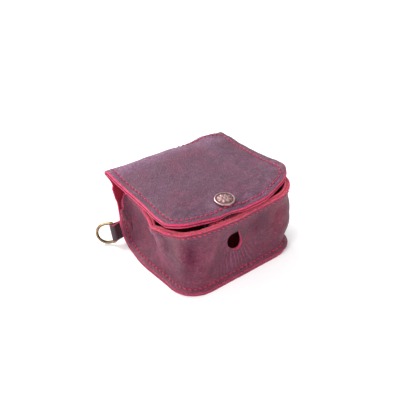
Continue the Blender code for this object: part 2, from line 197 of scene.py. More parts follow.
def leather_grain(name, plum, red, dark, pale, red_share=0.5, gloss=0.5):
    """Waxed pull-up leather: plum film over red, cloudy, with fine pebbled grain and scuffs, plus painted
    shade in creases and hollows and a painted sheen on ridges and the fold.
    """
    n = Nodes(name)
    deep = n.attribute("deep")
    cloud = n.noise(0.062, 4.0, 0.6, distortion=0.9)
    base = n.tint(linear(plum), cloud, 0.52 - 0.20 * red_share, 0.70, 0.85, red)
    base = n.tint(base, n.noise(0.12, 4.0, 0.6, distortion=0.5), 0.45, 0.68, 0.62, dark)
    worn = n.math("ADD", n.attribute("worn"), n.grey(n.noise(0.3), 0.35, 0.65, -0.12, 0.12))
    base = n.tint(base, worn, 0.05, 1.0, 0.90, (red[0] + 14, red[1] - 10, red[2] - 6))
    # Painted sheen: the pale colour laid over ridges, bulges and the fold's crest.
    bloom = n.math("MULTIPLY", n.attribute("bloom"), n.grey(n.noise(0.5, 4.0), 0.3, 0.7, 0.55, 1.0))
    base = n.mix(bloom, base, linear(pale))
    # Painted shade: the deep attribute darkens dents, hollows and parts turned from the light.
    base = n.tint(base, deep, 0.0, 1.0, 0.75, SHADOW)
    mottle = n.noise(0.62, 5.0, 0.72)
    base = n.tint(base, mottle, 0.54, 0.40, 0.62, dark)
    base = n.tint(base, mottle, 0.54, 0.70, 0.46, pale)
    wrinkle = n.math("MULTIPLY", n.math("SINE", n.attribute("phase"), 0.0), n.attribute("crease"))
    # Painted shade in the wrinkles' troughs and painted highlight on their crests.
    base = n.tint(base, wrinkle, 0.0, -1.0, 0.62, SHADOW)
    base = n.tint(base, wrinkle, 0.25, 1.0, 0.55, pale)
    near_edge = n.math("ADD", n.attribute("edge_mm"), n.grey(n.noise(0.9, 2.0), 0.3, 0.7, -0.25, 0.25))
    base = n.tint(base, near_edge, 0.45, 0.05, 0.8, (140, 34, 70))
    pebble = n.new("TexVoronoi", Scale=1.25, Vector=n.scaled(1.0, 0.85, 1.0)).outputs["Distance"]
    pore = n.grey(pebble, 0.05, 0.42, 0.0, 1.0)
    fine = n.noise(3.4, 4.0, 0.65)
    base = n.tint(base, pore, 0.40, 1.0, 0.58, dark)
    base = n.tint(base, fine, 0.52, 0.70, 0.52, pale)
    scuff = n.noise(0.33, 6.0, 0.72, n.scaled(2.4, 0.8, 1.0))
    base = n.tint(base, scuff, 0.60, 0.78, 0.26, (108, 58, 84))
    creases = n.noise(0.55, 5.0, 0.6, n.scaled(1.0, 2.2, 1.3), 1.6)
    normal = n.bump(n.mix(0.35, pore, fine), 0.20, 0.8)
    normal = n.bump(creases, 1.3, 0.6, normal)
    normal = n.bump(wrinkle, 0.28, 0.8, normal)
    return n.finish(normal, Base_Color=base, Roughness=n.grey(n.noise(0.16), 0.3, 0.7, 0.40, 0.56),
                    Specular_IOR_Level=n.grey(deep, 0.0, 0.9, gloss, 0.12 * gloss),
                    Coat_Weight=n.grey(deep, 0.0, 0.9, 0.12 * gloss, 0.0),
                    Sheen_Weight=0.03, Sheen_Roughness=0.5, Coat_Roughness=0.34)


def raw_edge(name, light, deep, orange, between, patches=0.4):
    """Cut edge: dyed fibres with burnished and fuzzy places, and a line where two plies meet."""
    n = Nodes(name)
    streak = n.noise(1.3, 4.0, 0.7, n.scaled(0.7, 0.7, 1.6))
    base = n.ramp(streak, [(0.30, deep), (0.52, light), (0.76, (214, 96, 128))])
    base = n.tint(base, n.noise(0.30, 4.0, 0.65), 0.50, 0.66, patches, orange)
    base = n.tint(base, n.noise(0.75, 4.0, 0.7), 0.56, 0.68, 0.6, deep)
    base = n.tint(base, n.attribute("bloom"), 0.0, 1.0, 0.85, between)
    return n.finish(n.bump(n.noise(4.5, 5.0, 0.75), 0.22, 0.7), Base_Color=base, Roughness=0.82,
                    Specular_IOR_Level=0.25, Sheen_Weight=0.15)


def flesh(name, colour, deep):
    """The napped inner side of leather."""
    n = Nodes(name)
    nap = n.noise(2.6, 5.0, 0.75)
    base = n.tint(linear(colour), n.noise(0.22, 4.0, 0.6), 0.35, 0.7, 0.8, deep)
    base = n.tint(base, nap, 0.4, 0.75, 0.25, (150, 40, 56))
    return n.finish(n.bump(nap, 0.25, 0.6), Base_Color=base, Roughness=0.93, Specular_IOR_Level=0.15,
                    Sheen_Weight=0.2)


def thread(name):
    n = Nodes(name)
    # Painted shade: darker where the ply value is low, in the grooves between the twisted plies.
    base = n.tint(linear((112, 8, 40)), n.attribute("ply"), 0.0, 1.0, 1.0, (192, 22, 76))
    base = n.tint(base, n.noise(0.5, 2.0), 0.45, 0.7, 0.35, (150, 24, 64))
    return n.finish(n.bump(n.noise(5.0), 0.08, 0.5), Base_Color=base, Roughness=0.55, Specular_IOR_Level=0.35,
                    Sheen_Weight=0.2)


def aged_metal(name, bright, body, dark, rough):
    """Plated metal: dark patina in the low places and bright where fingers rub it."""
    n = Nodes(name)
    mottled = n.math("ADD", n.attribute("worn"), n.grey(n.noise(0.9, 5.0, 0.7), 0.3, 0.7, -0.28, 0.28))
    base = n.ramp(mottled, [(0.12, dark), (0.42, body), (0.85, bright)])
    scratch = n.noise(5.5, 4.0, 0.7, n.scaled(1.0, 4.0, 1.0))
    return n.finish(n.bump(scratch, 0.03, 0.4), Base_Color=base, Metallic=0.92,
                    Roughness=n.grey(n.noise(1.4, 4.0), 0.3, 0.7, rough - 0.08, rough + 0.16))


GRAIN_LID = leather_grain("lid_grain", (92, 37, 67), (126, 25, 60), (54, 18, 42), (174, 118, 158), 0.60)
GRAIN_WALL = leather_grain("wall_grain", (104, 27, 60), (140, 16, 54), (56, 10, 34), (192, 92, 132), 0.72)
# Painted shade: the tongue sits under the lid's front, so its grain and cut edge are near-black and dull.
GRAIN_TONGUE_IN_SHADE = leather_grain("tongue_grain_painted_shade", (30, 12, 20), (40, 12, 22), (18, 6, 12), (36, 18, 26), 0.4, 0.12)
GRAIN_DARK = leather_grain("tab_grain", (62, 32, 48), (84, 28, 46), (40, 20, 32), (96, 60, 78), 0.5)
EDGE = raw_edge("raw_edge", (200, 26, 84), (118, 10, 48), (204, 84, 108), (52, 6, 24))
EDGE_RIM = raw_edge("raw_edge_rim", (206, 58, 100), (132, 22, 58), (200, 106, 96), (176, 92, 74))
# Darker cut edge for the low edges and the tab: partly burnished, partly painted shade.
EDGE_BASE = raw_edge("raw_edge_base", (146, 26, 66), (78, 14, 40), (170, 66, 94), (60, 10, 30), 0.25)
# Painted shade for the tongue's cut edge.
EDGE_TONGUE_IN_SHADE = raw_edge("raw_edge_tongue_painted_shade", (52, 10, 26), (26, 6, 14), (70, 18, 34), (20, 4, 10), 0.2)
FLESH = flesh("flesh_side", (156, 18, 46), (96, 8, 28))
LINING = flesh("lining_face", (96, 30, 48), (64, 18, 34))
THREAD = thread("waxed_thread")
# Painted shade: awl holes are lined in near-black.
HOLE_PAINTED_SHADE = flesh("awl_hole_painted_shade", (34, 8, 18), (20, 5, 12))
COPPER = aged_metal("antique_copper", (198, 160, 160), (134, 102, 102), (48, 34, 36), 0.38)
BRASS = aged_metal("antique_brass", (160, 134, 102), (92, 74, 52), (30, 25, 18), 0.32)
NICKEL = aged_metal("snap_metal", (128, 108, 94), (78, 64, 56), (34, 27, 23), 0.40)


# Mesh making

def make(name, verts, faces, mats, face_mat=None, **fields):
    verts = np.asarray(verts, float)
    mesh = bpy.data.meshes.new(name)
    mesh.from_pydata([tuple(v) for v in verts * MM], [], [tuple(int(i) for i in f) for f in faces])
    for mat in mats:
        mesh.materials.append(mat)
    if face_mat is not None:
        mesh.polygons.foreach_set("material_index", np.asarray(face_mat, np.int32))
    rest = mesh.attributes.new("rest", "FLOAT_VECTOR", "POINT")
    rest.data.foreach_set("vector", verts.astype(np.float32).ravel())
    for key, values in fields.items():
        layer = mesh.attributes.new(key, "FLOAT", "POINT")
        layer.data.foreach_set("value", np.asarray(values, np.float32))
    mesh.update()
    mesh.shade_smooth()
    obj = bpy.data.objects.new(name, mesh)
    bpy.context.scene.collection.objects.link(obj)
    return obj


def unit(v):
    return v / np.maximum(np.linalg.norm(v, axis=-1, keepdims=True), 1e-9)


def grid_normals(p, at, toward):
    """Unit normals of a grid, turned so that the one at a given place faces a given way."""
    n = unit(np.cross(np.gradient(p, axis=0), np.gradient(p, axis=1)))
    return n if np.dot(n[at], toward) > 0 else -n


def calm(field, times=60):
    """Evens out unit vectors, so that an offset face doesn't exaggerate small creases."""
    for _ in range(times):
        around = np.pad(field, ((1, 1), (1, 1), (0, 0)), mode="edge")
        field = (around[:-2, 1:-1] + around[2:, 1:-1] + around[1:-1, :-2] + around[1:-1, 2:] + 4 * field) / 8
    return unit(field)


def edge_distance(p):
    """Distance of each grid point to its sheet's nearest edge, along rows and columns."""
    found = []
    for axis in (0, 1):
        steps = np.cumsum(np.linalg.norm(np.diff(p, axis=axis), axis=2), axis)
        along = np.insert(steps, 0, 0.0, axis=axis)
        found += [along, np.take(along, [-1], axis) - along]
    return np.minimum.reduce(found)


EDGE_RINGS = ((0.07, 0.62), (0.22, 1.0), (0.5, 1.05), (0.78, 1.0), (0.93, 0.62))  # depth share, bulge share


def slab(name, face, back, mats, round_mm=0.28, edge_kind=None, meets=None, **fields):
    """Closed sheet between two grids: grain, rounded cut edge and back.

    edge_kind gives the cut edge's material at each grid point; meets names the side a second ply touches.
    """
    n, m = face.shape[:2]
    count = n * m
    verts = [face.reshape(-1, 3), back.reshape(-1, 3)]
    edge_mm = [edge_distance(face).ravel()] * 2
    i, j = np.meshgrid(np.arange(n - 1), np.arange(m - 1), indexing="ij")
    a = (i * m + j).ravel()
    quads = [np.stack([a, a + m, a + m + 1, a + 1], 1), np.stack([a, a + 1, a + m + 1, a + m], 1) + count]
    mat = [np.zeros(len(a), int), np.full(len(a), 2)]
    loop = ([(r, 0) for r in range(n - 1)] + [(n - 1, c) for c in range(m - 1)]
            + [(r, m - 1) for r in range(n - 1, 0, -1)] + [(0, c) for c in range(m - 1, 0, -1)])
    r, c = np.array(loop).T
    rim = face[r, c]
    thick = back[r, c] - rim
    through = unit(thick)
    away = rim - face[np.clip(r, 1, n - 2), np.clip(c, 1, m - 2)]
    away = unit(away - through * np.sum(away * through, 1, keepdims=True))
    ring_ids = [r * m + c]
    base = 2 * count
    for share, out in EDGE_RINGS:
        verts.append(rim + thick * share + away * (round_mm * out))
        edge_mm.append(np.zeros(len(rim)))
        ring_ids.append(base + np.arange(len(rim)))
        base += len(rim)
    ring_ids.append(r * m + c + count)
    for low_ring, high_ring in zip(ring_ids, ring_ids[1:]):
        quads.append(np.stack([low_ring, high_ring, np.roll(high_ring, -1), np.roll(low_ring, -1)], 1))
        mat.append(np.ones(len(low_ring), int) if edge_kind is None else edge_kind[r, c])
    verts = np.concatenate(verts)
    quads, mat = np.concatenate(quads), np.concatenate(mat)
    p, q, t, u = (verts[quads[:, k]] for k in range(4))
    if np.sum(p * (np.cross(q, t) + np.cross(t, u))) < 0:  # signed volume: turn every face outwards
        quads = quads[:, ::-1]
    # This attribute carries the grain's painted sheen; on cut edges it marks where a second ply meets.
    fields.setdefault("bloom", np.zeros(count))
    for key, values in fields.items():
        fields[key] = np.zeros(len(verts))
        fields[key][:count] = values.ravel()
    if meets:
        line = ring_ids[1:] if meets == "back" else ring_ids[-2::-1]
        for ids, share in zip(line[-3:], (0.3, 1.0, 1.0)):
            fields["bloom"][ids] = share
    return make(name, verts, quads, mats, mat, edge_mm=np.concatenate(edge_mm), **fields)


def tube_faces(first, rings, sides):
    """Faces of a closed tube made of rings of points, with both ends capped."""
    faces = []
    for k in range(rings - 1):
        for q in range(sides):
            a, b = first + k * sides, (q + 1) % sides
            faces.append((a + q, a + b, a + sides + b, a + sides + q))
    last = first + (rings - 1) * sides
    return faces + [tuple(first + q for q in reversed(range(sides))), tuple(last + q for q in range(sides))]


HOLE_RINGS = ((-0.35, 0.5), (0.045, 1.0))  # an awl hole's floor and rim: height, share of its size


def stitches(name, path, normals, pitch=3.0, radius=0.45, closed=False, sink=0.78):
    """Saddle stitches along a path: two twisted plies, their ends pulled into slanting awl holes."""
    pts, nn = np.asarray(path, float), np.asarray(normals, float)
    if closed:
        pts, nn = np.concatenate([pts, pts[:1]]), np.concatenate([nn, nn[:1]])
    length = np.concatenate([[0], np.cumsum(np.linalg.norm(np.diff(pts, axis=0), axis=1))])
    at = np.linspace(0, length[-1], max(int(round(length[-1] / pitch)), 2) + 1)
    sides, rings, slant = 8, 9, 0.12
    verts, faces, ply = [], [], []

    def sample(s):
        x = np.array([np.interp(s, length, pts[:, k]) for k in range(3)])
        return x, unit(np.array([np.interp(s, length, nn[:, k]) for k in range(3)]))

    for index in range(len(at) - 1):
        start, stop = at[index] + 0.16, at[index + 1] - 0.16
        wobble = 0.05 * math.sin(index * 2.39)
        first = len(verts)
        along = unit(sample(stop)[0] - sample(start)[0])
        for t in np.linspace(0, 1, rings):
            x, n = sample(start + (stop - start) * t)
            side = unit(np.cross(n, along))
            arch = math.sin(math.pi * t) ** 0.6
            centre = x + n * (radius * (1.25 * arch - sink - 0.55 * (1 - arch))) \
                + side * ((t - 0.5) * 2 * slant + wobble)
            r_here = radius * (0.55 + 0.45 * min(1.0, 4 * t, 4 * (1 - t)))
            for a in np.arange(sides) * (2 * math.pi / sides):
                twist = math.cos(2 * a - 7.0 * t)
                r_ply = r_here * (1 + 0.13 * twist)
                verts.append(centre + side * (r_ply * math.cos(a)) + n * (r_ply * math.sin(a)))
                # The twist also sets the thread's colour: painted shade in the grooves between plies.
                ply.append(0.5 + 0.5 * twist)
        faces += tube_faces(first, rings, sides)
    mats = [0] * len(faces)
    # Each awl hole is a small cup in the near-black of painted shade.
    for s_hole in at[:-1] if closed else at:
        x, n = sample(s_hole)
        along = unit(sample(min(s_hole + 0.3, length[-1]))[0] - sample(max(s_hole - 0.3, 0.0))[0])
        side = np.cross(n, along)
        along, side = along * 0.9 + side * 0.5, side * 0.9 - along * 0.5
        first = len(verts)
        for lift, size in HOLE_RINGS:
            for a in np.arange(8) * (math.pi / 4):
                oval = along * (0.44 * math.cos(a)) + side * (0.25 * math.sin(a))
                verts.append(x + n * lift + oval * size)
                ply.append(0.0)
        faces += tube_faces(first, 2, 8)
        mats += [1] * 10
    return make(name, np.array(verts), faces, [THREAD, HOLE_PAINTED_SHADE], mats, ply=ply)


def join(name, objects):
    """One object from several that share their materials' order."""
    bpy.ops.object.select_all(action="DESELECT")
    for o in objects:
        o.select_set(True)
    bpy.context.view_layer.objects.active = objects[0]
    bpy.ops.object.join()
    objects[0].name = name
    objects[0].data.name = name
    return objects[0]


def spaced(a, b, fine, coarse, fine_start=5.0, fine_end=5.0):
    """Stations from a to b with fine steps near chosen ends."""
    length = abs(b - a)
    out, s = [0.0], 0.0
    while s < length - 1e-6:
        left = length - s
        step = fine if (s < fine_start or left < fine_end) else coarse
        if s >= fine_start and left > fine_end:
            step = max(min(step, left - fine_end + 1e-6), fine * 0.5)
        s = min(s + step, length)
        out.append(s)
    if len(out) > 2 and out[-1] - out[-2] < fine * 0.4:
        out.pop(-2)
    return a + np.sign(b - a) * np.array(out)


# The lid's and the strip's shape

LID_X = LID_HI[0]
LID_FRONT = LID_LO[1]
LID_BACK = 33.0  # the fold begins here
WIDE_RIGHT = 0.6  # the lid was cut a little wide on its right
CORNER_LEFT, CORNER_RIGHT, CORNER_BASE = 12.0, 9.5, 16.5  # corner radii of lid and base
SEAM_IN = 3.3
SEAM_BACK = 41.8  # the lid's seam crosses on the fold


def lid_height(x, y):
    """Height of the lid's upper face: high at the back left and front right, low at the front left."""
    u, v = np.clip(x / 40.0, -1.06, 1.06), np.clip((y - 4.0) / 34.0, -1.06, 1.0)  # -1..1 over the lid
    front = 45.1 + np.where(u > 0, u + 3.9 * np.abs(u) ** 4, 3.9 * u)
    back = (48.1 - 1.1 * u + 0.7 * gauss(u + 0.5, 0.35) - 0.9 * gauss(u - 0.34, 0.20)
            + 1.6 * gauss(u - 0.66, 0.17) - 0.9 * smooth(0.85, 1.0, u))
    left, right = 45.1 + 3.9 * v, 48.25 - 1.75 * v
    a, b = (u + 1) / 2, (v + 1) / 2
    corners = (1 - b) * ((1 - a) * 41.2 + a * 50.0) + b * ((1 - a) * 49.0 + a * 46.7)
    z = (1 - b) * front + b * back + (1 - a) * left + a * right - corners
    z = z + 1.2 * np.clip(1 - u * u, 0, 1) * np.clip(1 - v * v, 0, 1)
    z = z - 2.0 * smooth(0.5, 1.0, u) * smooth(0.1, 1.0, v) - 1.3 * smooth(0.55, 1.0, u) * gauss(v - 0.1, 0.6)
    z = z + smooth(0.5, 1.0, u) * (1.4 * gauss(v - 0.7, 0.2) + 1.3 * gauss(v + 0.6, 0.35))
    near = 1 - smooth(6.5, 11.5, np.hypot(x - SNAP[0], y - SNAP[1]))
    return z * (1 - near) + near * (LID_HI[2] - 0.05)


def lid_warp(x, y):
    """Worn front corners are drawn back a little; the fold lies a little askew."""
    a = smooth(8, -38, x) ** 1.5
    b = smooth(-2, LID_FRONT, y)
    c = smooth(0, LID_BACK, y)
    right = 4.4 * smooth(12, 40, x) ** 1.3 * smooth(6, LID_FRONT, y)
    return (x + 1.6 * a * b - 1.4 * c * smooth(-20, -40, x),
            y + 10.0 * a * b + right - c * (0.25 + 1.75 * x / 40))


def lid_point(x, y):
    wx, wy = lid_warp(x, y)
    rise = smooth(-8, -37, x) * smooth(36, -26, y)
    return np.stack([wx - 3.0 * rise, wy - 3.8 * rise, lid_height(wx, wy) + 3.55 * rise], -1)


def strip_half_width(y):
    return HALF_W - TAPER * smooth(TAPER_Y, ROLL_Y, y)


def corner_width(inside, half, radius):
    """Half width of a sheet with a round corner, at a distance inside its end."""
    d = np.clip(radius - inside, 0, radius)
    return half - radius + np.sqrt(np.maximum(radius ** 2 - d ** 2, 0))


def across(lo, hi):
    """Columns across a sheet, fine along both edges."""
    ends = np.linspace(0, 0.075, 12), np.linspace(0.925, 1, 12)
    return lo + (hi - lo) * np.concatenate([ends[0], np.linspace(0.075, 0.925, 56)[1:-1], ends[1]])


def bezier(p0, p1, p2, p3, t):
    return p0 * (1 - t) ** 3 + 3 * p1 * t * (1 - t) ** 2 + 3 * p2 * t * t * (1 - t) + p3 * t ** 3


rows, flat_x, flat_v = [], [], []
for y in spaced(LID_FRONT, LID_BACK, 0.45, 1.15, 5.5, 2.0):
    left = corner_width(y - LID_FRONT, LID_X, CORNER_LEFT)
    right = corner_width(y - LID_FRONT, LID_X + WIDE_RIGHT, CORNER_RIGHT)
    xs = across(-left, right)
    rows.append(lid_point(xs, np.full_like(xs, y)))
    flat_x.append(xs)
    flat_v.append(y)
FOLD_END = (38.4, 38.0)
for t in np.linspace(0, 1, 23)[1:]:
    xs = across(-LID_X, LID_X + WIDE_RIGHT)
    start = lid_point(xs, np.full_like(xs, LID_BACK))
    narrow = smooth(0.55, 1.0, t)
    full = smooth(-28, -40, xs)
    x = start[:, 0] * (1 - narrow) + xs * (39.3 / (LID_X + 0.3)) * narrow
    y0, z0 = start[:, 1], start[:, 2]
    skew = y0 - LID_BACK
    y = bezier(y0, 40.6 + skew, 42.0 + 0.8 * skew, FOLD_END[0], t)
    z = bezier(z0, z0 + 0.2 + 1.2 * full, 43.6 + 0.25 * (z0 - 46.5) + 2.2 * full, FOLD_END[1], t)
    rows.append(np.stack([x, y, z], 1))
    flat_x.append(xs)
    mid = len(xs) // 2
    flat_v.append(flat_v[-1] + float(np.linalg.norm(rows[-1][mid] - rows[-2][mid])))
n_fold = len(rows)

# The strip's path below the fold, seen from the side: leaning back, bend, upright, roll and base
BEND_R = 40.0
bend_z = LEAN_Z - BEND_R * math.tan(LEAN / 2)
side = [(FOLD_Y - (BACK_TOP - z) * math.tan(LEAN), z) for z in np.linspace(FOLD_END[1], 31.0, 6)[1:]]
side += [(BACK + BEND_R * (1 - math.cos(a)), bend_z + BEND_R * math.sin(a)) for a in np.linspace(LEAN, 0, 9)]
side += [(BACK, z) for z in np.linspace(bend_z, ROLL_R, 5)[1:]]
side += [(ROLL_Y + ROLL_R * math.cos(a), ROLL_R * (1 - math.sin(a)))
         for a in np.linspace(0, math.pi / 2, 15)[1:]]
side += [(y, 0.0) for y in spaced(ROLL_Y, FRONT, 0.6, 1.8, 0.0, 6.0)[1:]]


def left_extra(y, z):
    """The strip's left edge was cut a little wide along the base and the roll."""
    return max(2.3 * float(gauss(y - 10.0, 14.0)) if z < ROLL_R else 0.0, 0.8 * float(smooth(6, 14, z)))


for y, z in side:
    inside = y - FRONT
    half = strip_half_width(y)
    if z == 0.0:
        half = corner_width(inside, half, CORNER_BASE)
    elif z > 30:
        half = 39.0 + 0.3 * smooth(30, 38, z)
    xs = across(-half - left_extra(y, z), half)
    rows.append(np.stack([xs, np.full_like(xs, y), np.full_like(xs, z)], 1))
outer = np.array(rows)

# A little slow waviness on the lid, fold and back, none where the case stands
MID_LID, UP = (20, 30), (0.0, 0.0, 1.0)
ABOVE = 38.0  # everything higher than this belongs to the lid and its fold
wave = fbm(outer, 19.0, 3.7)
small = fbm(outer * (0.55, 1.0, 1.0), 3.4, 5.9)
X, Y, Z = np.moveaxis(outer, 2, 0)
snap_near = smooth(7.0, 14.0, np.hypot(X - SNAP[0], Y - SNAP[1]))
weight = smooth(2.0, 10.0, Z) * np.where(Z > ABOVE, snap_near, 1.0)
front_part = smooth(6, LID_FRONT, Y) * (Z > ABOVE)
push = (0.50 * wave + (0.06 + 0.13 * front_part) * small) * weight
outer = outer + grid_normals(outer, MID_LID, UP) * push[:, :, None]
normals = grid_normals(outer, MID_LID, UP)


def on_sheet(points, grid, also):
    """Where flat points (x, distance back) lie on the strip; interpolates two grids."""
    at_row = np.interp(points[:, 1], flat_v, np.arange(len(flat_v)))
    found = []
    for (x, _), r in zip(points, at_row):
        r0 = min(int(r), len(flat_v) - 2)
        ends = []
        for k in (r0, r0 + 1):
            c = np.interp(x, flat_x[k], np.arange(len(flat_x[k])))
            c0 = min(int(c), len(flat_x[k]) - 2)
            ends.append([g[k, c0] * (1 - (c - c0)) + g[k, c0 + 1] * (c - c0) for g in (grid, also)])
        found.append([ends[0][i] * (1 - (r - r0)) + ends[1][i] * (r - r0) for i in (0, 1)])
    return np.array([f[0] for f in found]), np.array([f[1] for f in found])


def rounded_path(x0, x1, y0, y1, r_fl, r_fr, r_back, open_front=False):
    """Dense flat path round a rectangle whose corners are round."""
    pts = []
    turns = ((x0 + r_fl, y0 + r_fl, r_fl, 180), (x1 - r_fr, y0 + r_fr, r_fr, 270),
             (x1 - r_back, y1 - r_back, r_back, 0), (x0 + r_back, y1 - r_back, r_back, 90))
    for x, y, r, a0 in turns[2:] if open_front else turns:
        pts += [(x + r * math.cos(a), y + r * math.sin(a)) for a in np.radians(np.linspace(a0, a0 + 90, 12))]
    pts = [(x1, y0)] + pts + [(x0, y0)] if open_front else pts + [pts[0]]
    dense = []
    for (ax, ay), (bx, by) in zip(pts, pts[1:]):
        steps = max(1, int(math.hypot(bx - ax, by - ay) / 0.8))
        dense += [(ax + (bx - ax) * k / steps, ay + (by - ay) * k / steps) for k in range(steps)]
    return np.array(dense)


lid_path = rounded_path(-LID_X + SEAM_IN, LID_X + WIDE_RIGHT - SEAM_IN, LID_FRONT + SEAM_IN, SEAM_BACK,
                        8.7, 6.2, 4.0)
lid_path[:, 1] -= 6.0 * smooth(-2, 24, lid_path[:, 0]) * smooth(22, SEAM_BACK, lid_path[:, 1])
seam_xyz, seam_nrm = on_sheet(lid_path, outer, normals)
near_rows = outer[:n_fold].reshape(-1, 3)
gap = np.full(len(near_rows), 99.0)
for point in seam_xyz:
    gap = np.minimum(gap, np.linalg.norm(near_rows - point, axis=1))
outer[:n_fold] -= normals[:n_fold] * (0.30 * gauss(gap, 0.75)).reshape(n_fold, -1)[:, :, None]
seam_xyz, _ = on_sheet(lid_path, outer, normals)
through = calm(normals)
inner = outer - through * T_OUT
inner[n_fold + 30:, :, 2] = np.maximum(inner[n_fold + 30:, :, 2], T_OUT * 0.98)
X, Y, Z = np.moveaxis(outer, 2, 0)
lid_part = Z > ABOVE
worn = 0.45 * smooth(0.2, 0.8, wave)
# Masks for the painted sheen below: the fold's crest and a hump beside it.
crest = gauss(Y - 36.0, 5.5) * smooth(38, 45, Z) * smooth(30, -5, X)
hump = gauss(X - 27.0, 9.0) * gauss(Y - 31.0, 7.0) * lid_part
# Phase and mask of the front wrinkles: their bump, painted shade and painted highlight.
lid_phase = 4.4 * (Y + 0.22 * X + 1.6 * wave) + 1.2 * np.sin(X * 0.35)
lid_crease = 0.55 * smooth(4, -24, Y) * smooth(14, -22, X) * smooth(-0.5, 0.4, small) * lid_part
# Painted shade: darker in small dents, more so at the front, and in broad hollows.
lid_painted_shade = 0.55 * np.clip(-small, 0, 1) * (0.25 + 0.6 * front_part) + 0.25 * smooth(0.2, 0.9, -wave)
# Painted sheen: paler along the fold's crest, on the hump beside it, in broad hollows and on small bumps at
# the front.
bloom = (0.95 * crest + 0.75 * hump + 0.30 * smooth(0.25, 0.9, -wave)
         + 0.45 * np.clip(small, 0, 1) * front_part)
low_edge = np.where(Z < 13.0, 3, 1)  # darker edge near the base: partly burnished, partly painted shade
leather_outer = slab("outer_leather", outer, inner, [GRAIN_LID, EDGE, FLESH, EDGE_BASE], edge_kind=low_edge,
                     meets="back", worn=worn, bloom=np.clip(bloom, 0, 1), deep=np.clip(lid_painted_shade, 0, 1),
                     phase=lid_phase, crease=lid_crease)

lining_rows = int(np.searchsorted(flat_v, SEAM_BACK - 1.2))
lin_top = inner[:lining_rows] - through[:lining_rows] * 0.28
lin_low = lin_top - through[:lining_rows] * T_LIN
leather_lining = slab("lid_lining_leather", lin_top, lin_low, [LINING, EDGE, LINING], meets="face")


# The wall strip

HOLE_AT, HOLE_R, HOLE_POINT = (-4.4, 23.7), 5.8, 7.8  # the drop-shaped opening: centre, radius, tip
FLANGE_MID = 4.5  # flange edge to the wall's middle plane
SEAT_MID = T_OUT + 0.08 + T_OUT / 2
WALL_X = HALF_W - FLANGE_MID
WALL_FRONT = FRONT + FLANGE_MID
CORNER_R = 14.0 - FLANGE_MID
END_Y, END_Z, END_TOP = 31.4, 25.0, 34.6


def half_stations():
    """Left half of the seam's stations: base point, outward, inward and rim point."""
    side_pts = []
    for z in np.linspace(END_Z, ROLL_R, 12)[:-1]:
        side_pts.append((BACK, z, (-1.0, 0.0)))
    for a in np.radians(np.linspace(90, 0, 19)[:-1]):
        s, c = math.sin(a), math.cos(a)
        side_pts.append((ROLL_Y + ROLL_R * s, ROLL_R - ROLL_R * c, (-s, c)))
    for y in np.linspace(ROLL_Y, 0.0, 19):
        side_pts.append((y, 0.0, (0.0, 1.0)))
    sloped = len(side_pts) - 1
    start = WALL_FRONT + CORNER_R
    for y in np.linspace(0.0, start, 20)[1:-1]:
        side_pts.append((y, 0.0, (0.0, 1.0)))
    out = []
    for i, (y, z, inward) in enumerate(side_pts):
        if i < sloped:
            t = 1 - math.cos(math.pi / 2 * i / sloped)
            rim = (END_Y - END_Y * t, END_TOP + (RIM - END_TOP) * (1 - (1 - t) ** 2))
        else:
            rim = (y, RIM)
        out.append([(FLANGE_MID - strip_half_width(y), y, z), (-1.0, 0.0, 0.0), (0.0,) + inward,
                    (FLANGE_MID - strip_half_width(rim[0]), rim[0], rim[1])])
    for a in np.radians(np.linspace(180, 270, 25)):
        c, s = math.cos(a), math.sin(a)
        x, y = -WALL_X + CORNER_R * (1 + c), start + CORNER_R * s
        out.append([(x, y, 0.0), (c, s, 0.0), (0.0, 0.0, 1.0), (x, y, RIM)])
    for x in np.linspace(-(WALL_X - CORNER_R), 0.0, 28)[1:]:
        out.append([(x, WALL_FRONT, 0.0), (0.0, -1.0, 0.0), (0.0, 0.0, 1.0), (x, WALL_FRONT, RIM)])
    return out


left_half = half_stations()
flip = np.array([-1.0, 1.0, 1.0])
stations = [[np.array(v, float) for v in s] for s in left_half]
stations += [[s[0] * flip, s[1] * flip, s[2], s[3] * flip] for s in reversed(stations[:-1])]
for s in stations[:len(left_half)]:
    s[0][0] -= left_extra(s[0][1], s[0][2])
bases = np.array([s[0] for s in stations])
run = np.concatenate([[0], np.cumsum(np.linalg.norm(np.diff(bases, axis=0), axis=1))])
run = run - run[len(left_half) - 1]

# The worn wall from its left end through the front to its right end: place along it, rim height,
# how far the rim leans out, and how far the middle is drawn in.
KEYS = np.array([
    (-104, 41.0, 0.2, 0.3), (-84, 39.4, 2.2, 2.0), (-71, 37.7, 3.7, 3.0), (-57, 37.2, 5.3, 1.2),
    (-48, 37.7, 4.5, 0.2), (-41, 39.3, 1.8, 0.3), (-36, 40.5, -0.2, 1.4), (-32, 41.1, -1.2, 2.2),
    (-26, 40.9, -0.7, 1.4), (-19, 40.3, -0.2, 1.8), (-4, 39.4, 0.4, 2.0), (15, 39.7, 0.1, 1.9),
    (24, 41.0, 1.0, 1.2), (31, 42.6, 2.0, -2.4), (37, 43.7, 3.0, -4.2), (43, 44.2, 4.0, -3.0),
    (51, 43.6, 3.6, -0.4), (62, 42.2, 1.6, 1.4), (78, 41.2, 0.2, 2.0), (104, 41.0, 0.2, 0.3)], float)


def keyed(column):
    dense = np.interp(np.linspace(-110, 110, 441), KEYS[:, 0], KEYS[:, column])
    kernel = np.hanning(15)
    padded = np.pad(dense, 7, mode="edge")
    return np.interp(run, np.linspace(-110, 110, 441), np.convolve(padded, kernel / kernel.sum(), "valid"))


rim_z, flare, sag = keyed(1), keyed(2), keyed(3)


